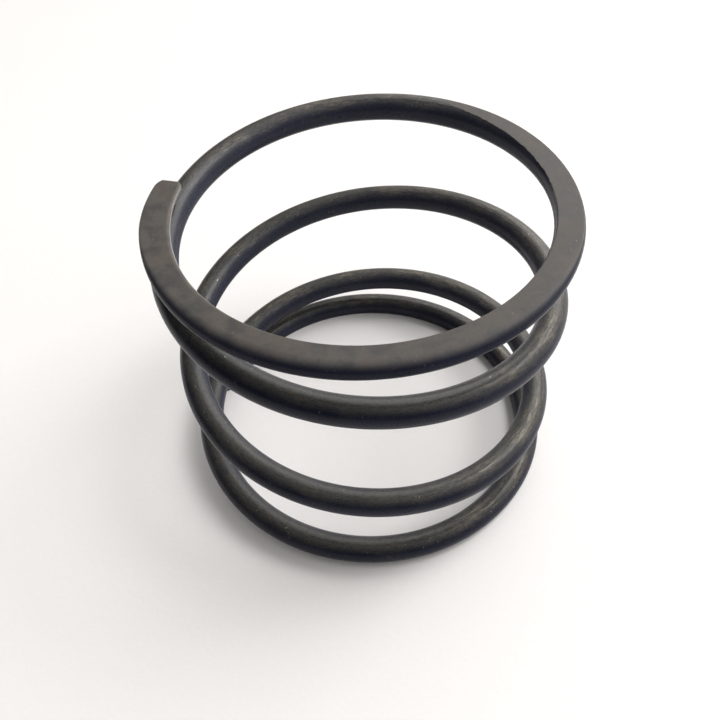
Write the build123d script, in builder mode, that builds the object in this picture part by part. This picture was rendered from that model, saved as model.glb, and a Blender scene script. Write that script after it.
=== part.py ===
from build123d import *
import os
from math import cos, pi, radians, sin, tan

# Small steel compression spring with both ends closed and ground square.
# It is one piece of round wire, wound left-hand: seen from above, the wire runs
# counter-clockwise as it goes down.  Millimetres, +Z up, axis on Z, standing on z = 0.

# Wire and coil
wire_diameter = 3.0
mean_coil_diameter = 41.0
free_length = 35.5
coil_turns = 4.0  # from one wire tip to the other

# Wire tip on the top seat, degrees round from +X
tip_azimuth = 166.0

# Ground ends.  The wire centre runs this far inside each ground face.
seat_depth = 0.65
# The last of the wire stands up by this much, so grinding takes it to a half-round tip.
tip_lift = 0.55
tip_lift_turns = 0.15
# The outer corner of each tip is dressed off by a flat, at a slight angle to the wire.
tip_trim_width = 0.8  # in from the outer edge, at the end face
tip_trim_angle = 3.5

# Winding of the two ends: turns laid flat, then turns over which the pitch opens up
top_closed_turns = 0.25
top_opening_turns = 1.2
bottom_closed_turns = 0.0
bottom_opening_turns = 1.95

# The wire goes round in short straight runs, mitred where they meet
runs_per_turn = 40

mean_coil_radius = mean_coil_diameter / 2
wire_radius = wire_diameter / 2
outside_diameter = mean_coil_diameter + wire_diameter

# The outer edge of every mitre stands on the outside diameter
half_run_angle = pi / runs_per_turn
mitre_radius = outside_diameter / 2 - wire_radius / cos(half_run_angle)
mid_run_radius = mitre_radius * cos(half_run_angle)


def opened(turns_in, closed_turns, opening_turns):
    """Rise of the wire, in active pitches, this many turns in from a tip."""
    share = min(max((turns_in - closed_turns) / opening_turns, 0.0), 1.0)
    past = max(turns_in - closed_turns - opening_turns, 0.0)
    return opening_turns * (share**3 - share**4 / 2) + past


def lifted(turns_in):
    """How far the wire near a tip stands out towards its ground face."""
    share = min(turns_in / tip_lift_turns, 1.0)
    return tip_lift * (1 - share**2 * (3 - 2 * share))


top_half_rise = opened(coil_turns / 2, top_closed_turns, top_opening_turns)
bottom_half_rise = opened(coil_turns / 2, bottom_closed_turns, bottom_opening_turns)
active_pitch = (free_length - 2 * seat_depth) / (top_half_rise + bottom_half_rise)


def wire_height(turns_in):
    """Height of the wire centre, this many turns along from the top tip."""
    if turns_in <= coil_turns / 2:
        drop = active_pitch * opened(turns_in, top_closed_turns, top_opening_turns)
        return free_length - seat_depth - drop + lifted(turns_in)
    back = coil_turns - turns_in
    climb = active_pitch * opened(back, bottom_closed_turns, bottom_opening_turns)
    return seat_depth + climb - lifted(back)


def wire_centre(turns_in, radius):
    """Point on the wire centreline at this radius, this many turns along from the top tip."""
    angle = radians(tip_azimuth) + 2 * pi * turns_in
    return (radius * cos(angle), radius * sin(angle), wire_height(turns_in))


tip_trim_depth = wire_radius + seat_depth


def tip_plane(side):
    """Plane on a ground face at its wire tip: X runs along the wire, Y towards the axis."""
    angle = radians(tip_azimuth) + 2 * pi * coil_turns * (side < 0)
    face_height = free_length * (side > 0)
    tip = (mean_coil_radius * cos(angle), mean_coil_radius * sin(angle), face_height)
    return Plane(origin=tip, x_dir=(-side * sin(angle), side * cos(angle), 0), z_dir=(0, 0, side))


def tip_trim_outline():
    """Outline of what is dressed off the outer corner of a tip, on its tip plane."""
    before = -wire_radius
    beyond = mean_coil_radius / 2
    slope = tan(radians(tip_trim_angle))
    edge = wire_radius - tip_trim_width
    return [
        (before, -(edge + slope * before)),
        (beyond, -(edge + slope * beyond)),
        (beyond, -wire_diameter),
        (before, -wire_diameter),
    ]


# Each tip is the middle of a run, so the wire leaves it square to the coil radius
mitre_count = round(coil_turns * runs_per_turn)
mitres = [wire_centre((i + 0.5) / runs_per_turn, mitre_radius) for i in range(mitre_count)]
top_tip = wire_centre(0, mid_run_radius)
bottom_tip = wire_centre(coil_turns, mid_run_radius)

# Variable-pitch coil: one round section swept along the whole wire path, both ends
# ground flat by keeping only what lies between the two seat planes, then the tips trimmed.
with BuildPart() as compression_spring:
    with BuildLine() as wire_path:
        Polyline(top_tip, *mitres, bottom_tip)
    with BuildSketch(Plane(origin=wire_path.line @ 0, z_dir=wire_path.line % 0)):
        Circle(wire_radius)
    sweep(path=wire_path.line, transition=Transition.RIGHT)
    with Locations((0, 0, free_length / 2)):
        Box(2 * outside_diameter, 2 * outside_diameter, free_length, mode=Mode.INTERSECT)
    for side in (1, -1):
        with BuildSketch(tip_plane(side)):
            Polygon(*tip_trim_outline(), align=None)
        extrude(amount=tip_trim_depth, dir=(0, 0, -side), mode=Mode.SUBTRACT)

compression_spring.part.label = "compression_spring"
os.makedirs("parts", exist_ok=True)
export_step(compression_spring.part, "parts/compression_spring.step")
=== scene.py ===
"""A small compression spring in worn black-oxide steel wire, both ends ground flat.

Metres, +Z up, in the frame of the CAD part: the coil axis is Z and the bottom seat
stands on z = 0.
"""

import logging
import math
from dataclasses import dataclass, field
from enum import Enum

import bpy
import numpy as np
from mathutils import Matrix, Vector


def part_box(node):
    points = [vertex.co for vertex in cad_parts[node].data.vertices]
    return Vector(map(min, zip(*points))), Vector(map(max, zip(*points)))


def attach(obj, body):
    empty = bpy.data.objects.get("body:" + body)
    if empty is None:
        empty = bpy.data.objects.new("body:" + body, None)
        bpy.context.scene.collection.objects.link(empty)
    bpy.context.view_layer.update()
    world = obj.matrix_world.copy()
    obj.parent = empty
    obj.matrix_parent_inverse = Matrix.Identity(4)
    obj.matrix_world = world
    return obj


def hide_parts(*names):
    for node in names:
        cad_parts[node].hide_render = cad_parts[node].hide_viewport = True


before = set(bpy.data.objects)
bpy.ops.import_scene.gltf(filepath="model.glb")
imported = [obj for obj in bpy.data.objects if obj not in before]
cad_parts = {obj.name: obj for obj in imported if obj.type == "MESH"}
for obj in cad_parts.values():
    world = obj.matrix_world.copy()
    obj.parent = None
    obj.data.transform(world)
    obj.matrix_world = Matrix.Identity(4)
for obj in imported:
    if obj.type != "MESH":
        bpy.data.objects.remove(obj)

log = logging.getLogger("spring")

MM = 0.001
WIRE_SPACE = "wire_space"
GRIND_DEPTH = "grind_depth"
RIM_EDGE = "rim_edge"
RIM_ROLL = "rim_roll"
CAD_NODE = "compression_spring"
QUAD_CORNERS = 4


# ---------------------------------------------------------------- the coil's form


def eased(share: np.ndarray) -> np.ndarray:
    """Smooths a share from 0 to 1 at both its ends."""
    return share**2 * (3 - 2 * share)


def faded(along: np.ndarray, length: float) -> np.ndarray:
    """Falls from 1 at a tip to 0 at a length along the wire."""
    return np.clip(1 - along / length, 0.0, 1.0) ** 2


@dataclass(frozen=True)
class WindingEnd:
    """How the pitch opens up, counted in turns from one wire tip."""

    closed_turns: float
    opening_turns: float

    def rise(self, turns_in: np.ndarray) -> np.ndarray:
        """Rise of the wire in active pitches.

        Args:
            turns_in: Turns along the wire from this end's tip.

        Returns:
            The rise at each of those turns.
        """
        share = np.clip((turns_in - self.closed_turns) / self.opening_turns, 0.0, 1.0)
        past = np.maximum(turns_in - self.closed_turns - self.opening_turns, 0.0)
        return self.opening_turns * (share**3 - share**4 / 2) + past


@dataclass(frozen=True)
class CoilForm:
    """Sizes of the wound and ground spring, and the line its wire follows."""

    outside_diameter: float
    free_length: float
    wire_diameter: float = 3.0 * MM
    turns: float = 4.0
    tip_azimuth: float = math.radians(166.0)
    seat_depth: float = 0.65 * MM
    tip_lift: float = 0.55 * MM
    tip_lift_turns: float = 0.15
    top: WindingEnd = WindingEnd(closed_turns=0.25, opening_turns=1.2)
    bottom: WindingEnd = WindingEnd(closed_turns=0.0, opening_turns=1.95)

    @property
    def wire_radius(self) -> float:
        """Radius of the wire."""
        return self.wire_diameter / 2

    @property
    def coil_radius(self) -> float:
        """Radius of the coil at the middle of the wire."""
        return (self.outside_diameter - self.wire_diameter) / 2

    @property
    def active_pitch(self) -> float:
        """Rise of one fully open turn.

        Returns:
            The rise, in metres.
        """
        half = np.array([self.turns / 2])
        rises = self.top.rise(half) + self.bottom.rise(half)
        return (self.free_length - 2 * self.seat_depth) / float(rises[0])

    def lifted(self, turns_in: np.ndarray) -> np.ndarray:
        """How far the wire near a tip stands out towards its seat.

        Args:
            turns_in: Turns along the wire from that tip.

        Returns:
            The lift at each of those turns.
        """
        share = np.clip(turns_in / self.tip_lift_turns, 0.0, 1.0)
        return self.tip_lift * (1 - eased(share))

    def height(self, turn: np.ndarray) -> np.ndarray:
        """Height of the wire centre.

        Args:
            turn: Turns along the wire from the top tip.

        Returns:
            The height of the centre at each of those turns.
        """
        back = self.turns - turn
        drop = self.active_pitch * self.top.rise(turn) - self.lifted(turn)
        climb = self.active_pitch * self.bottom.rise(back) - self.lifted(back)
        upper = self.free_length - self.seat_depth - drop
        return np.where(turn <= self.turns / 2, upper, self.seat_depth + climb)

    def steepness(self, turn: np.ndarray) -> np.ndarray:
        """Height of the wire's upright section over its diameter.

        Args:
            turn: Turns along the wire from the top tip.

        Returns:
            A factor of 1 where the wire lies level, and a little more where it climbs.
        """
        step = 1e-3
        rise = self.height(turn + step) - self.height(turn - step)
        slope = rise / (2 * step * 2 * math.pi * self.coil_radius)
        return np.sqrt(1 + slope**2)


@dataclass(frozen=True)
class TipDressing:
    """How each tip is ground back: a long flat taper outside, and rounded corners."""

    taper: float = 0.38 * MM
    taper_length: float = 10.0 * MM
    outer_round: float = 0.42 * MM
    outer_round_length: float = 1.0 * MM
    inner_round: float = 0.30 * MM
    inner_round_length: float = 0.8 * MM

    def taken(self, along: np.ndarray, outward: np.ndarray) -> np.ndarray:
        """How much of the wire's radius is ground off sideways.

        Args:
            along: Distance along the wire from the tip.
            outward: 1 on the outside of the coil and -1 on the inside.

        Returns:
            The depth taken off at each of those places.
        """
        taper = self.taper * faded(along, self.taper_length)
        outer = self.outer_round * faded(along, self.outer_round_length)
        inner = self.inner_round * faded(along, self.inner_round_length)
        return np.where(outward > 0, taper + outer, inner)


# ---------------------------------------------------------------- modelling by operators


def only(piece: bpy.types.Object) -> None:
    """Makes a piece the one that is selected and active.

    Args:
        piece: The piece.
    """
    bpy.ops.object.select_all(action="DESELECT")
    piece.select_set(True)
    bpy.context.view_layer.objects.active = piece


def edit(piece: bpy.types.Object) -> None:
    """Opens a piece in edit mode with nothing of it selected.

    Args:
        piece: The piece.
    """
    only(piece)
    bpy.ops.object.mode_set(mode="EDIT")
    bpy.ops.mesh.select_mode(type="FACE")
    bpy.ops.mesh.select_all(action="DESELECT")


def pick_faces(piece: bpy.types.Object, wanted: np.ndarray) -> None:
    """Selects faces of a piece that is open in edit mode.

    Args:
        piece: The piece.
        wanted: One true or false for each face.
    """
    bpy.ops.object.mode_set(mode="OBJECT")
    piece.data.polygons.foreach_set("select", wanted.astype(bool))
    bpy.ops.object.mode_set(mode="EDIT")


def points_of(piece: bpy.types.Object) -> np.ndarray:
    """Reads where a piece's vertices are.

    Args:
        piece: The piece.

    Returns:
        Their places, one row each.
    """
    flat = np.empty(len(piece.data.vertices) * 3, dtype=np.float32)
    piece.data.vertices.foreach_get("co", flat)
    return flat.reshape(-1, 3).astype(float)


def move_points(piece: bpy.types.Object, place: np.ndarray) -> None:
    """Moves a piece's vertices.

    Args:
        piece: The piece.
        place: Their new places, one row each.
    """
    piece.data.vertices.foreach_set("co", place.astype(np.float32).ravel())
    piece.data.update()


@dataclass(frozen=True)
class Stretch:
    """A stretch of the wire, in turns from the top tip, over which something swells and fades."""

    middle: float
    half_length: float
    most: float

    def at(self, turn: np.ndarray) -> np.ndarray:
        """How strong it is.

        Args:
            turn: Turns along the wire from the top tip.

        Returns:
            From 0 outside the stretch to the most at its middle.
        """
        share = np.clip(1 - ((turn - self.middle) / self.half_length) ** 2, 0.0, 1.0)
        return self.most * eased(share)


@dataclass(frozen=True)
class Section:
    """Which point of the wire's round section each vertex is.

    A quarter of the section runs from the middle of a side, at 0, up the side, over the
    rim of a seat and on to the middle of the seat.
    """

    side_steps: int = 6
    rim_steps: int = 4
    seat_steps: int = 6

    @property
    def quarter(self) -> int:
        """Steps in a quarter of the section."""
        return self.side_steps + self.rim_steps + self.seat_steps

    @property
    def columns(self) -> int:
        """Points round the whole section."""
        return 4 * self.quarter

    def step(self, column: np.ndarray) -> np.ndarray:
        """Steps from the middle of the side to each column."""
        return np.abs((column + self.quarter) % (2 * self.quarter) - self.quarter)

    def outward(self, column: np.ndarray) -> np.ndarray:
        """1 for columns on the outside of the coil and -1 for those on the inside."""
        return np.where((column <= self.quarter) | (column > 3 * self.quarter), 1.0, -1.0)

    def upward(self, column: np.ndarray) -> np.ndarray:
        """1 for columns on top of the wire and -1 for those underneath."""
        return np.where(column <= 2 * self.quarter, 1.0, -1.0)


@dataclass
class GroundWire:
    """The one piece of wire: wound, ground flat at both ends and trimmed at its tips."""

    form: CoilForm
    section: Section = Section()
    top_dressing: TipDressing = TipDressing()
    bottom_dressing: TipDressing = TipDressing(inner_round=1.7 * MM, inner_round_length=2.3 * MM)
    rings_per_turn: int = 300
    crowded_turns: float = 0.1
    crowding: float = 0.8
    least_seat_angle: float = math.radians(20.0)
    least_dressing: float = 0.002 * MM
    corner_share: float = 0.6
    rim_width: float = 0.06 * MM
    rim_fade: float = 0.12
    rolled_rim: Stretch = Stretch(middle=0.28, half_length=0.23, most=1.05 * MM)
    roll_spread: float = 2.5
    least_roll: float = 0.2 * MM
    tip_rim: Stretch = Stretch(middle=0.06, half_length=0.18, most=0.26 * MM)
    burr: Stretch = Stretch(middle=0.67, half_length=0.16, most=0.16 * MM)
    tooth_power: float = 1.6
    outer_wear: float = 0.6
    inner_wear: float = 0.1
    inner_tip_wear: float = 0.15
    tip_bevel: float = 0.05 * MM
    smooth_angle: float = math.radians(28.0)
    seed: int = 11
    piece: bpy.types.Object | None = field(default=None, init=False)

    def build(self) -> bpy.types.Object:
        """Makes the whole wire.

        Returns:
            The finished piece, without its finish.
        """
        self.wind()
        self.lay()
        self.close_tips()
        self.level()
        self.smooth()
        return self.piece

    def wind(self) -> None:
        """Turns one round section about the coil axis at an even pitch."""
        form = self.form
        bpy.ops.object.select_all(action="DESELECT")
        bpy.ops.mesh.primitive_circle_add(
            vertices=self.section.columns,
            radius=form.wire_radius,
            fill_type="NOTHING",
            location=(form.coil_radius, 0.0, 0.0),
            rotation=(math.pi / 2, 0.0, 0.0),
        )
        self.piece = bpy.context.object
        self.piece.name = "spring_wire_piece"
        self.piece.data.name = "spring_wire_mesh"
        bpy.ops.object.transform_apply(location=True, rotation=True, scale=True)
        screw = self.piece.modifiers.new("Winding", "SCREW")
        screw.axis = "Z"
        screw.angle = 2 * math.pi * form.turns
        screw.screw_offset = -form.free_length
        screw.steps = screw.render_steps = round(form.turns * self.rings_per_turn)
        screw.use_merge_vertices = False
        bpy.ops.object.modifier_apply(modifier=screw.name)

    def lay(self) -> None:
        """Moves each ring of the even winding to the real pitch, and grinds the seats."""
        form = self.form
        place = points_of(self.piece)
        even_pitch = form.free_length / form.turns
        around = (np.arctan2(place[:, 1], place[:, 0]) / (2 * math.pi)) % 1.0
        whole = np.round(-place[:, 2] / even_pitch - around)
        turn = np.clip(around + whole, 0.0, form.turns)
        out = np.hypot(place[:, 0], place[:, 1]) - form.coil_radius
        up = place[:, 2] + even_pitch * turn
        step = np.arctan2(up, out) / (2 * math.pi) * self.section.columns
        self.shape(self.crowded(turn), np.round(step).astype(int) % self.section.columns)

    def crowded(self, turn: np.ndarray) -> np.ndarray:
        """Moves the rings near each tip closer together.

        Args:
            turn: Turns along the even winding from the top tip.

        Returns:
            The turns that those rings move to.
        """
        near = np.minimum(turn, self.form.turns - turn)
        share = np.clip(near / self.crowded_turns, 0.0, 1.0)
        nearer = near * self.crowding * (1 - share) ** 2
        return np.where(turn < self.form.turns / 2, turn - nearer, turn + nearer)

    def seat_angles(self, room: np.ndarray) -> np.ndarray:
        """Half the angle that a seat takes up on the section.

        Args:
            room: Distance from the wire's centre to the seat's plane, over its radius.

        Returns:
            The half angle, no less than the least.
        """
        return np.maximum(np.arccos(np.clip(room, 0.0, 1.0)), self.least_seat_angle)

    def shape(self, turn: np.ndarray, column: np.ndarray) -> None:
        """Gives every vertex its final place, and the attributes that the finish reads.

        Args:
            turn: Turns along the wire from the top tip, for each vertex.
            column: Which point of the section each vertex is.
        """
        form, section, radius = self.form, self.section, self.form.wire_radius
        step, outward, upward = section.step(column), section.outward(column), section.upward(column)
        centre, steep = form.height(turn), form.steepness(turn)
        above, below = form.free_length - centre, centre
        top, low = self.seat_angles(above / (radius * steep)), self.seat_angles(below / (radius * steep))
        cut = radius - self.dressed_off(turn, outward)
        rim = self.rim_widths(turn, outward, upward)
        high_end = math.pi / 2 - top - rim / radius
        low_end = -math.pi / 2 + low + self.rim_width / radius
        middle = self.side_middle(turn, outward, (high_end + low_end) / 2, cut / radius)
        span = np.where(upward > 0, top, low)
        facing = np.where(upward > 0, above, below)

        side_share = np.clip(step / section.side_steps, 0.0, 1.0)
        angle = middle + (np.where(upward > 0, high_end, low_end) - middle) * side_share
        side = np.stack([np.minimum(radius * np.cos(angle), cut), radius * np.sin(angle)])
        edge = np.minimum(radius * np.sin(span), cut)
        reach = np.clip((section.quarter - step) / section.seat_steps, 0.0, 1.0) * (edge - rim)
        cap = facing / steep
        dome = upward * np.sqrt(np.maximum(radius**2 - reach**2, 0.0))
        seat = np.stack([reach, np.clip(dome, -cap, cap)])
        corner = np.stack([edge, upward * radius * np.cos(span)])
        share = np.clip((step - section.side_steps) / section.rim_steps, 0.0, 1.0)
        rounded = (1 - share) ** 2 * side + 2 * share * (1 - share) * corner + share**2 * seat
        out, up = np.where(step <= section.side_steps, side, np.where(share >= 1, seat, rounded))

        azimuth = form.tip_azimuth + 2 * math.pi * turn
        on_rim = (step > section.side_steps) & (share < 1)
        burr = self.burr_teeth(turn, on_rim & (outward < 0) & (upward > 0))
        distance = form.coil_radius + out * outward - burr
        height = np.clip(centre + up * steep, 0.0, form.free_length)
        place = np.stack([distance * np.cos(azimuth), distance * np.sin(azimuth), height], axis=1)
        move_points(self.piece, place)

        along = turn * 2 * math.pi * form.coil_radius
        self.store(WIRE_SPACE, "FLOAT_VECTOR", "vector", np.stack([along, out * outward, up], axis=1) / MM)
        uncut = np.sqrt(np.maximum(radius**2 - out**2, 0.0)) * np.sign(up)
        depth = np.maximum(uncut * steep - above, -uncut * steep - below)
        dressed = (step <= section.side_steps) & (cut < radius - self.least_dressing)
        depth = np.maximum(depth, np.where(dressed, radius * np.cos(angle) - cut, depth))
        self.store(GRIND_DEPTH, "FLOAT", "value", depth / MM)
        shows = np.clip((1.0 - facing / (radius * steep)) / self.rim_fade, 0.0, 1.0)
        worn = np.sin(math.pi * share) * shows * self.rim_wear(turn, outward, upward)
        self.store(RIM_EDGE, "FLOAT", "value", np.where(on_rim, worn, 0.0))
        rolled = np.clip(self.rolled_rim.at(turn) / self.rolled_rim.most * self.roll_spread, 0.0, 1.0)
        rolled = np.where((outward > 0) & (upward > 0), rolled * (1 - share), 0.0)
        self.store(RIM_ROLL, "FLOAT", "value", rolled)

    def rim_wear(self, turn: np.ndarray, outward: np.ndarray, upward: np.ndarray) -> np.ndarray:
        """How strongly the rims are worn bright.

        Args:
            turn: Turns along the wire from the top tip.
            outward: 1 on the outside of the coil and -1 on the inside.
            upward: 1 on top of the wire and -1 underneath.

        Returns:
            From 0 to 1 for each vertex.
        """
        rolled = np.clip(self.rolled_rim.at(turn) / self.least_roll, 0.0, 1.0)
        outer = self.outer_wear * (1 - rolled)
        inner = self.inner_wear + self.inner_tip_wear * self.tip_rim.at(turn) / self.tip_rim.most
        return np.where(upward > 0, np.where(outward > 0, outer, inner), self.outer_wear)

    def dressed_off(self, turn: np.ndarray, outward: np.ndarray) -> np.ndarray:
        """How much dressing takes off each side of the wire near its tips.

        Args:
            turn: Turns along the wire from the top tip.
            outward: 1 on the outside of the coil and -1 on the inside.

        Returns:
            The depth taken off for each vertex.
        """
        along = self.from_tip(turn)
        top, bottom = (d.taken(along, outward) for d in (self.top_dressing, self.bottom_dressing))
        return np.where(turn < self.form.turns / 2, top, bottom)

    def from_tip(self, turn: np.ndarray) -> np.ndarray:
        """Distance along the wire from the nearer tip."""
        return np.minimum(turn, self.form.turns - turn) * 2 * math.pi * self.form.coil_radius

    def rim_widths(self, turn: np.ndarray, outward: np.ndarray, upward: np.ndarray) -> np.ndarray:
        """How wide the rim round a seat is.

        Args:
            turn: Turns along the wire from the top tip.
            outward: 1 on the outside of the coil and -1 on the inside.
            upward: 1 on top of the wire and -1 underneath.

        Returns:
            The width for each vertex.
        """
        added = np.where(outward > 0, self.rolled_rim.at(turn), self.tip_rim.at(turn))
        return self.rim_width + np.where(upward > 0, added, 0.0)

    def side_middle(self, turn: np.ndarray, outward: np.ndarray, even: np.ndarray,
                    cut: np.ndarray) -> np.ndarray:
        """Angle of the column in the middle of each side of the section.

        Args:
            turn: Turns along the wire from the top tip.
            outward: 1 on the outside of the coil and -1 on the inside.
            even: The angle halfway between the two rims.
            cut: How far out the dressed side stands, over the wire's radius.

        Returns:
            The angle, which near a tip is that of the dressed side's far corner.
        """
        corner = np.arccos(np.clip(cut, -1.0, 1.0)) * np.where(turn < self.form.turns / 2, -1.0, 1.0)
        share = np.clip(self.from_tip(turn) / self.top_dressing.taper_length - self.corner_share, 0.0, 1.0)
        followed = np.where(outward > 0, 1 - eased(share), 0.0)
        return even + (corner - even) * followed

    def burr_teeth(self, turn: np.ndarray, on_rim: np.ndarray) -> np.ndarray:
        """How far grinding pushed the inner rim of the top seat out, tooth by tooth.

        Args:
            turn: Turns along the wire from the top tip, for each vertex.
            on_rim: Which vertices are on that rim.

        Returns:
            The reach of the burr towards the coil axis, for each vertex.
        """
        chance = np.random.default_rng(self.seed)
        rings = np.round(turn * self.rings_per_turn).astype(int)
        teeth = chance.random(rings.max() + 1) ** self.tooth_power
        return np.where(on_rim, self.burr.at(turn) * teeth[rings], 0.0)

    def store(self, name: str, kind: str, value_name: str, values: np.ndarray) -> None:
        """Keeps one value for each vertex as an attribute of the mesh.

        Args:
            name: The attribute's name.
            kind: Blender's name for its data type.
            value_name: The member that holds the value.
            values: One row for each vertex.
        """
        attribute = self.piece.data.attributes.new(name, kind, "POINT")
        attribute.data.foreach_set(value_name, values.astype(np.float32).ravel())

    def close_tips(self) -> None:
        """Closes both cut ends of the wire and takes the sharpness off their edges."""
        edit(self.piece)
        bpy.ops.mesh.select_mode(type="EDGE")
        bpy.ops.mesh.select_non_manifold(extend=False)
        bpy.ops.mesh.fill_holes(sides=0)
        bpy.ops.mesh.select_mode(type="FACE")
        corners = np.array([face.loop_total for face in self.faces()])
        pick_faces(self.piece, corners > QUAD_CORNERS)
        bpy.ops.mesh.normals_make_consistent(inside=False)
        bpy.ops.mesh.region_to_loop()
        bpy.ops.mesh.bevel(offset=self.tip_bevel, segments=2, affect="EDGES")
        bpy.ops.object.mode_set(mode="OBJECT")

    def faces(self) -> bpy.types.MeshPolygons:
        """The piece's faces, up to date while it is open in edit mode."""
        self.piece.update_from_editmode()
        return self.piece.data.polygons

    def level(self) -> None:
        """Keeps the bevelled tips between the two seat planes."""
        place = points_of(self.piece)
        place[:, 2] = np.clip(place[:, 2], 0.0, self.form.free_length)
        move_points(self.piece, place)

    def smooth(self) -> None:
        """Makes every face point outwards, and shades what is round as round."""
        edit(self.piece)
        bpy.ops.mesh.select_all(action="SELECT")
        bpy.ops.mesh.normals_make_consistent(inside=False)
        bpy.ops.mesh.select_all(action="DESELECT")
        bpy.ops.object.mode_set(mode="OBJECT")
        bpy.ops.object.shade_smooth_by_angle(angle=self.smooth_angle)


# ---------------------------------------------------------------- finishes


class Tones(Enum):
    """Linear colours of the steel's finishes, of the light painted on it, and of the table."""

    OXIDE = (0.0096, 0.0114, 0.0250)
    OXIDE_DEEP = (0.0068, 0.0082, 0.0195)
    # olive dust; where it lies on the wire's crest it is partly a painted highlight
    OXIDE_OLIVE = (0.058, 0.056, 0.046)
    # golden rubbed metal; on the crest it is partly a painted highlight
    RUBBED_GOLD = (0.34, 0.29, 0.20)
    # pale grey scuffs, partly a painted reflection of light on the inner side near the top tip
    SCUFFED = (0.215, 0.210, 0.212)
    # painted light: the pale bluish glow that floor bounce and glare give the wire's inner side
    HAZE = (0.200, 0.205, 0.245)
    BARE_STEEL = (0.42, 0.40, 0.36)
    RUST = (0.105, 0.062, 0.044)
    SEAT_BROWN = (0.098, 0.077, 0.066)
    GROUND_GREY = (0.084, 0.078, 0.072)
    GROUND_DARK = (0.050, 0.048, 0.047)
    PAPER = (0.86, 0.85, 0.845)
    PAPER_FIBRE = (0.80, 0.79, 0.785)


@dataclass(frozen=True)
class Ramp:
    """A smooth step, from least at low to most at high."""

    low: float
    high: float
    least: float = 0.0
    most: float = 1.0


@dataclass(frozen=True)
class Grain:
    """A fractal noise over millimetres, drawn out along the axes and turned where that is given."""

    fineness: float
    layers: float = 3.0
    rough: float = 0.55
    warp: float = 0.0
    drawn: tuple[float, float, float] | None = None
    turned: float = 0.0


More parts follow.
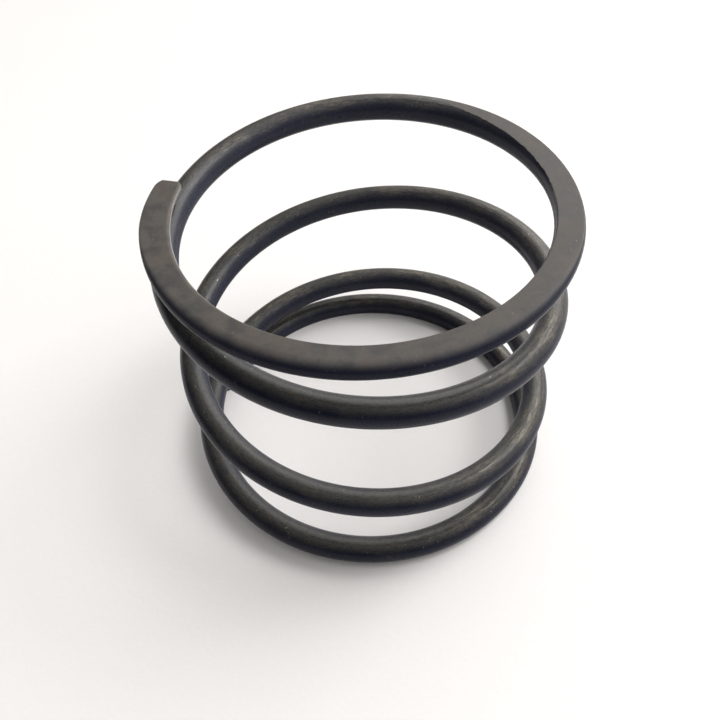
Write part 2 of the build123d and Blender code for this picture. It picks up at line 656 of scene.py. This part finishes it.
class NodeBench:
    """Puts together the nodes of one material, left to right."""

    def __init__(self, name: str) -> None:
        """Starts a material with one Principled shader.

        Args:
            name: The material's name.
        """
        self.material = bpy.data.materials.new(name)
        self.material.use_nodes = True
        self.tree = self.material.node_tree
        self.shader = self.tree.nodes["Principled BSDF"]

    def node(self, kind: str, **settings: object) -> bpy.types.Node:
        """Adds a node.

        Args:
            kind: Blender's name for the kind of node.
            **settings: Its properties.

        Returns:
            The node.
        """
        made = self.tree.nodes.new(kind)
        for name, value in settings.items():
            setattr(made, name, value)
        return made

    def link(self, source: object, socket: bpy.types.NodeSocket) -> None:
        """Feeds a socket from another socket, or sets it to a plain value.

        Args:
            source: The other socket, or the value.
            socket: The socket that is fed.
        """
        if isinstance(source, bpy.types.NodeSocket):
            self.tree.links.new(source, socket)
        else:
            socket.default_value = source

    def finish(self, **sources: object) -> bpy.types.Material:
        """Feeds the shader and hands over the material.

        Args:
            **sources: A socket or a plain value for each input, by its name with underscores.

        Returns:
            The material.
        """
        for name, source in sources.items():
            self.link(source, self.shader.inputs[name.replace("_", " ")])
        return self.material

    def attribute(self, name: str, vector: bool = False) -> bpy.types.NodeSocket:
        """Reads an attribute of the piece's mesh.

        Args:
            name: The attribute's name.
            vector: Whether it holds three numbers.

        Returns:
            The value.
        """
        made = self.node("ShaderNodeAttribute", attribute_name=name, attribute_type="GEOMETRY")
        return made.outputs["Vector" if vector else "Fac"]

    def object_place(self) -> bpy.types.NodeSocket:
        """Object coordinates, in millimetres."""
        metres = self.node("ShaderNodeTexCoord").outputs["Object"]
        return self.stretched(metres, (1 / MM, 1 / MM, 1 / MM))

    def stretched(self, place: object, scale: tuple[float, float, float],
                  turned: float = 0.0) -> bpy.types.NodeSocket:
        """Scales a pattern's coordinates, and then turns them about Z.

        Args:
            place: The coordinates.
            scale: How many times finer the pattern gets along each axis.
            turned: The angle, in radians.

        Returns:
            The new coordinates.
        """
        mapping = self.node("ShaderNodeMapping")
        self.link(place, mapping.inputs["Vector"])
        mapping.inputs["Scale"].default_value = scale
        mapping.inputs["Rotation"].default_value = (0.0, 0.0, turned)
        return mapping.outputs["Vector"]

    def noise(self, place: object, grain: Grain) -> bpy.types.NodeSocket:
        """Fractal noise.

        Args:
            place: The coordinates, in millimetres.
            grain: What the noise is like.

        Returns:
            The noise, about 0.5.
        """
        if grain.drawn is not None:
            place = self.stretched(place, grain.drawn, grain.turned)
        made = self.node("ShaderNodeTexNoise")
        self.link(place, made.inputs["Vector"])
        made.inputs["Scale"].default_value = grain.fineness
        made.inputs["Detail"].default_value = grain.layers
        made.inputs["Roughness"].default_value = grain.rough
        made.inputs["Distortion"].default_value = grain.warp
        return made.outputs["Fac"]

    def cells(self, place: object, density: float) -> bpy.types.NodeSocket:
        """Distance from the nearest of many scattered points.

        Args:
            place: The coordinates, in millimetres.
            density: How densely the points lie.

        Returns:
            The distance.
        """
        made = self.node("ShaderNodeTexVoronoi", feature="F1")
        self.link(place, made.inputs["Vector"])
        made.inputs["Scale"].default_value = density
        return made.outputs["Distance"]

    def ramp(self, value: object, ramp: Ramp) -> bpy.types.NodeSocket:
        """Maps a value smoothly through a ramp.

        Args:
            value: What is mapped.
            ramp: What it is mapped through.

        Returns:
            The mapped value.
        """
        made = self.node("ShaderNodeMapRange", interpolation_type="SMOOTHSTEP")
        for name, number in (("Value", value), ("From Min", ramp.low), ("From Max", ramp.high),
                             ("To Min", ramp.least), ("To Max", ramp.most)):
            self.link(number, made.inputs[name])
        return made.outputs["Result"]

    def maths(self, operation: str, *numbers: object) -> bpy.types.NodeSocket:
        """One step of arithmetic.

        Args:
            operation: Blender's name for it.
            *numbers: The numbers that it takes.

        Returns:
            The result.
        """
        made = self.node("ShaderNodeMath", operation=operation)
        for socket, number in zip(made.inputs, numbers):
            self.link(number, socket)
        return made.outputs["Value"]

    def product(self, first: object, *others: object) -> bpy.types.NodeSocket:
        """Multiplies numbers.

        Args:
            first: The first number.
            *others: The others.

        Returns:
            Their product.
        """
        for other in others:
            first = self.maths("MULTIPLY", first, other)
        return first

    def weighted(self, share: float, first: object, second: object) -> bpy.types.NodeSocket:
        """A share of the first number and the rest of the second."""
        return self.maths("MULTIPLY_ADD", first, share, self.product(second, 1 - share))

    def parts_of(self, vector: object) -> bpy.types.bpy_prop_collection:
        """Takes a vector apart.

        Args:
            vector: The vector.

        Returns:
            Its three numbers.
        """
        made = self.node("ShaderNodeSeparateXYZ")
        self.link(vector, made.inputs["Vector"])
        return made.outputs

    def blend(self, share: object, first: object, second: object) -> bpy.types.NodeSocket:
        """Mixes two colours.

        Args:
            share: How much of the second colour there is.
            first: The first colour, or one of the tones.
            second: The second colour, or one of the tones.

        Returns:
            The mixed colour.
        """
        made = self.node("ShaderNodeMix", data_type="RGBA")
        self.link(share, made.inputs["Factor"])
        for name, colour in (("A", first), ("B", second)):
            socket = [s for s in made.inputs if s.name == name and s.type == "RGBA"][0]
            self.link((*colour.value, 1.0) if isinstance(colour, Tones) else colour, socket)
        return [s for s in made.outputs if s.type == "RGBA"][0]

    def mix(self, share: object, first: object, second: object) -> bpy.types.NodeSocket:
        """Mixes two numbers.

        Args:
            share: How much of the second number there is.
            first: The first number.
            second: The second number.

        Returns:
            The mixed number.
        """
        made = self.node("ShaderNodeMix", data_type="FLOAT")
        for index, number in ((0, share), (2, first), (3, second)):
            self.link(number, made.inputs[index])
        return made.outputs[0]

    def relief(self, height: object, depth: float) -> bpy.types.NodeSocket:
        """A bump.

        Args:
            height: The height, from 0 to 1.
            depth: How deep that is, in metres.

        Returns:
            The bent normal.
        """
        made = self.node("ShaderNodeBump")
        made.inputs["Strength"].default_value = 1.0
        made.inputs["Distance"].default_value = depth
        self.link(height, made.inputs["Height"])
        return made.outputs["Normal"]


@dataclass(frozen=True)
class Look:
    """What one finish gives at each point: colour, roughness, height and bare metal."""

    colour: bpy.types.NodeSocket
    rough: bpy.types.NodeSocket
    height: bpy.types.NodeSocket
    metal: bpy.types.NodeSocket


@dataclass(frozen=True)
class Specks:
    """Small bare nicks, in loose clusters."""

    density: float = 2.2
    size: Ramp = Ramp(0.17, 0.07)
    clusters: Grain = Grain(1.3, 2.0)
    clustered: Ramp = Ramp(0.60, 0.67)

    def share(self, bench: NodeBench, wire: object) -> bpy.types.NodeSocket:
        """Where the nicks are.

        Args:
            bench: The material's bench.
            wire: Coordinates along and across the wire, in millimetres.

        Returns:
            The share of bare steel.
        """
        near = bench.ramp(bench.cells(wire, self.density), self.size)
        return bench.product(near, bench.ramp(bench.noise(wire, self.clusters), self.clustered))


@dataclass(frozen=True)
class GoldenRubAndHighlight:
    """The crest of the wire rubbed through to golden metal, in short streaks, kept mostly to the right
    side and the back, where it also paints in the highlights.
    """

    most: float = 0.34
    threads: Grain = Grain(5.0, 3.0, 0.55, drawn=(0.12, 1.0, 1.0))
    thread: Ramp = Ramp(0.40, 0.68, 0.10, 1.0)
    streak: Ramp = Ramp(0.38, 0.62, 0.35, 1.0)
    areas: Grain = Grain(0.35, 3.0, 0.6, drawn=(0.5, 1.0, 1.0))
    area: Ramp = Ramp(0.40, 0.58, 0.15, 1.0)
    right_side: Ramp = Ramp(2.0, 15.0)
    back: Ramp = Ramp(1.0, 12.0)
    elsewhere: float = 0.1

    def share(self, bench: NodeBench, wire: object, crest: object,
              streaks: object) -> bpy.types.NodeSocket:
        """Where the golden metal shows.

        Args:
            bench: The material's bench.
            wire: Coordinates along and across the wire, in millimetres.
            crest: How much of each place is crest.
            streaks: Streaks with grain in them.

        Returns:
            The share of golden metal and painted highlight.
        """
        x, y, _ = bench.parts_of(bench.object_place())
        # painted highlight: the gold is kept to the right side and the back, where the light catches the
        # crest
        rubbed_and_lit = bench.maths("MAXIMUM", bench.ramp(x, self.right_side), bench.ramp(y, self.back))
        rubbed_and_lit = bench.maths("MULTIPLY_ADD", rubbed_and_lit, 1 - self.elsewhere, self.elsewhere)
        threads = bench.ramp(bench.noise(wire, self.threads), self.thread)
        areas = bench.ramp(bench.noise(wire, self.areas), self.area)
        return bench.product(threads, bench.ramp(streaks, self.streak), areas, crest, rubbed_and_lit, self.most)


@dataclass(frozen=True)
class BlackOxide:
    """Drawn wire in black oxide, olive on top, partly dust and partly a painted highlight, with bare
    specks.
    """

    rough: Ramp = Ramp(0.3, 0.7, 0.24, 0.40)
    streaks: Grain = Grain(5.0, 4.0, 0.65, drawn=(0.35, 1.0, 1.0))
    patches: Grain = Grain(0.55, 4.0, 0.6, 0.4, drawn=(0.35, 0.7, 0.7))
    grain: Grain = Grain(7.0, 4.0, 0.7)
    streak_share: float = 0.6
    crest: Ramp = Ramp(1.2, 2.2)
    patch: Ramp = Ramp(0.35, 0.7)
    olive: Ramp = Ramp(0.36, 0.60, 0.45, 1.0)
    # painted bounce light and glare, laid over the inner side of the wire
    inner_side: Ramp = Ramp(0.4, -0.9)
    bounce_and_glare: Ramp = Ramp(0.25, 0.60, 0.035, 0.075)
    # scuffs near the top tip, partly a painted reflection of light on the inner side
    sheen_length: Ramp = Ramp(36.0, 10.0)
    sheen_side: Ramp = Ramp(-0.4, -1.2)
    sheen_streaks: Ramp = Ramp(0.2, 0.5)
    rust_spots: Grain = Grain(0.9, 5.0, 0.65, drawn=(0.5, 1.0, 1.0))
    rust: Ramp = Ramp(0.62, 0.72, 0.0, 0.30)
    gold: GoldenRubAndHighlight = GoldenRubAndHighlight()
    specks: Specks = Specks()
    specks_off_crest: float = 0.3

    def look(self, bench: NodeBench, wire: bpy.types.NodeSocket) -> Look:
        """Adds this finish's nodes.

        Args:
            bench: The material's bench.
            wire: Coordinates along and across the wire, in millimetres.

        Returns:
            What the finish gives.
        """
        patches, grain = bench.noise(wire, self.patches), bench.noise(wire, self.grain)
        streaks = bench.weighted(self.streak_share, bench.noise(wire, self.streaks), grain)
        along, across, up = bench.parts_of(wire)
        crest = bench.ramp(bench.maths("ADD", up, patches), self.crest)
        colour = bench.blend(bench.ramp(patches, self.patch), Tones.OXIDE_DEEP, Tones.OXIDE)
        # olive dust on top of the wire, partly a painted highlight where the top catches the light
        olive = bench.product(crest, bench.ramp(streaks, self.olive))
        colour = bench.blend(olive, colour, Tones.OXIDE_OLIVE)
        # painted bounce light and glare: a pale bluish tone over the inner side of the wire
        bounce_and_glare = bench.product(bench.ramp(across, self.inner_side), bench.ramp(streaks, self.bounce_and_glare))
        colour = bench.blend(bounce_and_glare, colour, Tones.HAZE)
        # pale streaks on the inner side of the first turn from the top tip: scuffs, partly a painted
        # reflection of light
        scuffs_and_sheen = bench.product(
            bench.ramp(along, self.sheen_length),
            bench.ramp(across, self.sheen_side),
            bench.ramp(streaks, self.sheen_streaks),
        )
        colour = bench.blend(scuffs_and_sheen, colour, Tones.SCUFFED)
        rust = bench.ramp(bench.noise(wire, self.rust_spots), self.rust)
        colour = bench.blend(rust, colour, Tones.RUST)
        # golden rubbed metal on the crest, partly a painted highlight on the right and back
        gold = self.gold.share(bench, wire, crest, streaks)
        colour = bench.blend(gold, colour, Tones.RUBBED_GOLD)
        spared = bench.maths("MULTIPLY_ADD", crest, 1 - self.specks_off_crest, self.specks_off_crest)
        bare = bench.product(self.specks.share(bench, wire), spared)
        colour = bench.blend(bare, colour, Tones.BARE_STEEL)
        return Look(colour, bench.ramp(grain, self.rough), streaks, bench.maths("MAXIMUM", gold, bare))


@dataclass(frozen=True)
class GroundSeat:
    """A ground face: grey-brown, mottled, with fine straight grinding marks."""

    rough: Ramp = Ramp(0.3, 0.7, 0.53, 0.70)
    marks: Grain = Grain(1.0, 3.0, 0.6, drawn=(9.0, 0.26, 1.0), turned=math.radians(38.0))
    mottle: Grain = Grain(0.45, 5.0, 0.62, 0.3)
    grain: Grain = Grain(6.0, 4.0, 0.65)
    mark_share: float = 0.5
    grey: Ramp = Ramp(0.36, 0.62)
    olive: Ramp = Ramp(0.42, 0.66, 0.0, 0.5)
    brown_patches: Grain = Grain(0.38, 4.0, 0.6)
    brown: Ramp = Ramp(0.47, 0.66, 0.0, 0.45)
    specks: Specks = Specks(
        size=Ramp(0.14, 0.05), clusters=Grain(0.9, 2.0), clustered=Ramp(0.60, 0.68, 0.0, 0.6)
    )

    def look(self, bench: NodeBench, wire: bpy.types.NodeSocket) -> Look:
        """Adds this finish's nodes.

        Args:
            bench: The material's bench.
            wire: Coordinates along and across the wire, in millimetres.

        Returns:
            What the finish gives.
        """
        place = bench.object_place()
        mottle, grain = bench.noise(place, self.mottle), bench.noise(place, self.grain)
        colour = bench.blend(bench.ramp(mottle, self.grey), Tones.GROUND_DARK, Tones.GROUND_GREY)
        colour = bench.blend(bench.ramp(grain, self.olive), colour, Tones.OXIDE_OLIVE)
        brown = bench.ramp(bench.noise(place, self.brown_patches), self.brown)
        colour = bench.blend(brown, colour, Tones.SEAT_BROWN)
        bare = self.specks.share(bench, wire)
        colour = bench.blend(bare, colour, Tones.BARE_STEEL)
        height = bench.weighted(self.mark_share, bench.noise(place, self.marks), grain)
        return Look(colour, bench.ramp(mottle, self.rough), height, bare)


@dataclass(frozen=True)
class WireFinish:
    """The wire's whole surface: black oxide, ground seats, and the worn rim between."""

    oxide: BlackOxide = BlackOxide()
    seat: GroundSeat = GroundSeat()
    ragged: Grain = Grain(3.0, 3.0, 0.6)
    ragged_by: float = 0.05
    seat_edge: Ramp = Ramp(-0.008, 0.012)
    unrolled: Ramp = Ramp(0.75, 0.0)
    wear_patches: Grain = Grain(0.5, 4.0, 0.6)
    wear: Ramp = Ramp(0.36, 0.62, 0.05, 0.42)
    specular: float = 0.17
    relief: float = 0.012 * MM

    def material(self) -> bpy.types.Material:
        """Makes the material.

        Returns:
            The material.
        """
        bench = NodeBench("worn_black_oxide_wire")
        wire = bench.attribute(WIRE_SPACE, vector=True)
        oxide, seat = self.oxide.look(bench, wire), self.seat.look(bench, wire)
        ragged = bench.noise(wire, self.ragged)
        ragged = bench.maths("MULTIPLY_ADD", ragged, self.ragged_by, -self.ragged_by / 2)
        edge = bench.maths("ADD", bench.attribute(GRIND_DEPTH), ragged)
        unrolled = bench.ramp(bench.attribute(RIM_ROLL), self.unrolled)
        ground = bench.product(bench.ramp(edge, self.seat_edge), unrolled)
        wear = bench.ramp(bench.noise(wire, self.wear_patches), self.wear)
        worn = bench.product(bench.attribute(RIM_EDGE), wear)
        colour = bench.blend(ground, oxide.colour, seat.colour)
        return bench.finish(
            Base_Color=bench.blend(worn, colour, Tones.RUBBED_GOLD),
            Roughness=bench.mix(ground, oxide.rough, seat.rough),
            Normal=bench.relief(bench.mix(ground, oxide.height, seat.height), self.relief),
            Metallic=bench.mix(ground, oxide.metal, seat.metal),
            Specular_IOR_Level=self.specular,
        )


@dataclass(frozen=True)
class CutTipFinish:
    """Where the wire was cut off and trimmed: dark, torn along the cut, a little rusty."""

    tears: Grain = Grain(1.0, 4.0, 0.6, drawn=(0.9, 0.9, 5.2))
    mottle: Grain = Grain(1.3, 4.0, 0.6)
    ground: Ramp = Ramp(0.35, 0.65)
    rust: Ramp = Ramp(0.55, 0.75, 0.0, 0.4)
    rough: Ramp = Ramp(0.3, 0.7, 0.42, 0.62)
    metallic: float = 0.35
    relief: float = 0.03 * MM

    def material(self) -> bpy.types.Material:
        """Makes the material.

        Returns:
            The material.
        """
        bench = NodeBench("cut_wire_tip")
        place = bench.object_place()
        tears, mottle = bench.noise(place, self.tears), bench.noise(place, self.mottle)
        colour = bench.blend(bench.ramp(mottle, self.ground), Tones.OXIDE, Tones.GROUND_DARK)
        return bench.finish(
            Base_Color=bench.blend(bench.ramp(tears, self.rust), colour, Tones.RUST),
            Roughness=bench.ramp(tears, self.rough),
            Normal=bench.relief(tears, self.relief),
            Metallic=self.metallic,
        )


@dataclass(frozen=True)
class PaperFinish:
    """Plain pale paper with a fine grain."""

    fibres: Grain = Grain(1.6, 5.0, 0.65)
    fibre_share: float = 0.6
    clouds: Grain = Grain(0.05, 2.0)
    cloud_share: float = 0.3
    rough: float = 0.85
    specular: float = 0.25
    relief: float = 0.02 * MM

    def material(self) -> bpy.types.Material:
        """Makes the material.

        Returns:
            The material.
        """
        bench = NodeBench("pale_paper")
        place = bench.object_place()
        fibres = bench.noise(place, self.fibres)
        clouds = bench.product(bench.noise(place, self.clouds), self.cloud_share)
        share = bench.maths("MULTIPLY_ADD", fibres, self.fibre_share, clouds)
        return bench.finish(
            Base_Color=bench.blend(share, Tones.PAPER, Tones.PAPER_FIBRE),
            Normal=bench.relief(fibres, self.relief),
            Roughness=self.rough,
            Specular_IOR_Level=self.specular,
        )


# ---------------------------------------------------------------- the spring and its table


@dataclass
class Spring:
    """The dressed spring.

    A face with more corners than the wire's own faces ever have is a cut tip.
    """

    form: CoilForm
    most_corners: int = 6

    def build(self) -> bpy.types.Object:
        """Models the wire, dresses it and puts it in place of its CAD solid.

        Returns:
            The finished piece.
        """
        piece = GroundWire(self.form).build()
        self.dress(piece)
        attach(piece, "root")
        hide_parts(CAD_NODE)
        return piece

    def dress(self, piece: bpy.types.Object) -> None:
        """Gives the wire its finish, and the cut faces at its tips theirs.

        Args:
            piece: The modelled wire.
        """
        piece.data.materials.append(WireFinish().material())
        piece.data.materials.append(CutTipFinish().material())
        for face in piece.data.polygons:
            face.material_index = 1 if face.loop_total > self.most_corners else 0


@dataclass
class Table:
    """The pale paper that the spring stands on."""

    half_width: float = 1.2
    cuts: int = 6

    def build(self) -> bpy.types.Object:
        """Makes the sheet of paper.

        Returns:
            The floor.
        """
        bpy.ops.object.select_all(action="DESELECT")
        bpy.ops.mesh.primitive_plane_add(size=2 * self.half_width, location=(0.0, 0.0, 0.0))
        floor = bpy.context.object
        floor.name = "paper_floor"
        edit(floor)
        bpy.ops.mesh.select_all(action="SELECT")
        bpy.ops.mesh.subdivide(number_cuts=self.cuts)
        bpy.ops.object.mode_set(mode="OBJECT")
        floor.data.materials.append(PaperFinish().material())
        return floor


def towards(azimuth: float, elevation: float) -> Vector:
    """The way from the spring towards an azimuth and an elevation."""
    level = math.cos(elevation)
    return Vector((level * math.cos(azimuth), level * math.sin(azimuth), math.sin(elevation)))


@dataclass(frozen=True)
class SoftBox:
    """One large soft lamp that looks at the spring."""

    name: str
    azimuth: float
    elevation: float
    size: float
    power: float
    distance: float = 0.35
    sheen_only: bool = False

    def place(self, target: Vector) -> bpy.types.Object:
        """Hangs the lamp.

        Args:
            target: What it looks at.

        Returns:
            The lamp.
        """
        data = bpy.data.lights.new(self.name, "AREA")
        data.shape = "DISK"
        data.size = self.size
        data.energy = self.power
        lamp = bpy.data.objects.new(self.name, data)
        bpy.context.scene.collection.objects.link(lamp)
        way = towards(self.azimuth, self.elevation)
        lamp.location = target + way * self.distance
        lamp.rotation_euler = way.to_track_quat("Z", "Y").to_euler()
        lamp.visible_diffuse = not self.sheen_only
        return lamp


@dataclass
class Studio:
    """Plain soft light: a pale room that is brighter behind and above, and a few soft lamps."""

    tone: tuple[float, float, float] = (1.0, 0.975, 0.95)
    dim: float = 0.09
    bright: float = 2.15
    bright_azimuth: float = math.radians(32.0)
    bright_elevation: float = math.radians(42.0)
    edge: tuple[float, float] = (0.2, 0.95)
    lamps: tuple[SoftBox, ...] = (
        SoftBox("window", math.radians(25.0), math.radians(48.0), size=0.16, power=0.38),
        SoftBox("ceiling", math.radians(10.0), math.radians(60.0), size=0.16, power=0.14),
        SoftBox("sheen", math.radians(55.0), math.radians(40.0), size=0.34, power=1.0, sheen_only=True),
    )

    def light(self, target: Vector) -> None:
        """Sets the room's light and the lamps.

        Args:
            target: What the lamps look at.
        """
        world = bpy.data.worlds.new("studio")
        world.use_nodes = True
        tree = world.node_tree
        backdrop = tree.nodes["Background"]
        backdrop.inputs["Color"].default_value = (*self.tone, 1.0)
        way = tree.nodes.new("ShaderNodeTexCoord").outputs["Generated"]
        facing = tree.nodes.new("ShaderNodeVectorMath")
        facing.operation = "DOT_PRODUCT"
        tree.links.new(way, facing.inputs[0])
        facing.inputs[1].default_value = towards(self.bright_azimuth, self.bright_elevation)
        spread = tree.nodes.new("ShaderNodeMapRange")
        spread.interpolation_type = "SMOOTHSTEP"
        tree.links.new(facing.outputs["Value"], spread.inputs["Value"])
        for name, number in (("From Min", self.edge[0]), ("From Max", self.edge[1]),
                             ("To Min", self.dim), ("To Max", self.bright)):
            spread.inputs[name].default_value = number
        tree.links.new(spread.outputs["Result"], backdrop.inputs["Strength"])
        bpy.context.scene.world = world
        for lamp in self.lamps:
            lamp.place(target)
        bpy.context.scene.view_settings.view_transform = "Standard"


@dataclass
class Camera:
    """The viewpoint: near the spring, looking down at it from the front."""

    lens: float = 39.017
    sensor: float = 36.0
    nearest: float = 1.0 * MM
    farthest: float = 20.0
    distance: float = 91.22 * MM
    elevation: float = math.radians(46.558)
    pan: float = math.radians(0.549)
    tilt: float = math.radians(-2.564)
    roll: float = math.radians(-2.307)

    def place(self, target: Vector) -> bpy.types.Object:
        """Sets up the camera.

        Args:
            target: The middle of the spring.

        Returns:
            The camera.
        """
        data = bpy.data.cameras.new("view")
        data.lens = self.lens
        data.sensor_width = self.sensor
        data.clip_start = self.nearest
        data.clip_end = self.farthest
        back = Vector((0.0, -math.cos(self.elevation), math.sin(self.elevation)))
        right = Vector((1.0, 0.0, 0.0))
        aimed = Matrix((right, back.cross(right), back)).transposed()
        turned = (
            Matrix.Rotation(self.pan, 3, "Y")
            @ Matrix.Rotation(self.tilt, 3, "X")
            @ Matrix.Rotation(self.roll, 3, "Z")
        )
        camera = bpy.data.objects.new("camera", data)
        bpy.context.scene.collection.objects.link(camera)
        camera.matrix_world = Matrix.Translation(target + back * self.distance) @ (aimed @ turned).to_4x4()
        bpy.context.scene.camera = camera
        return camera


def main() -> None:
    """Builds the spring, its table, the light and the camera, and reports the spring, the table and the
    camera.
    """
    logging.basicConfig(level=logging.INFO, format="%(name)s: %(message)s")
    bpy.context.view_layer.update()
    low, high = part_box(CAD_NODE)
    form = CoilForm(outside_diameter=high.x - low.x, free_length=high.z - low.z)
    middle = Vector((0.0, 0.0, form.free_length / 2))
    spring = Spring(form).build()
    log.info("%s: %d faces", spring.name, len(spring.data.polygons))
    floor = Table().build()
    log.info("%s: %d faces", floor.name, len(floor.data.polygons))
    Studio().light(middle)
    camera = Camera().place(middle)
    log.info("%s: %s", camera.name, [round(v / MM, 2) for v in camera.location])


if __name__ == "__main__":
    main()
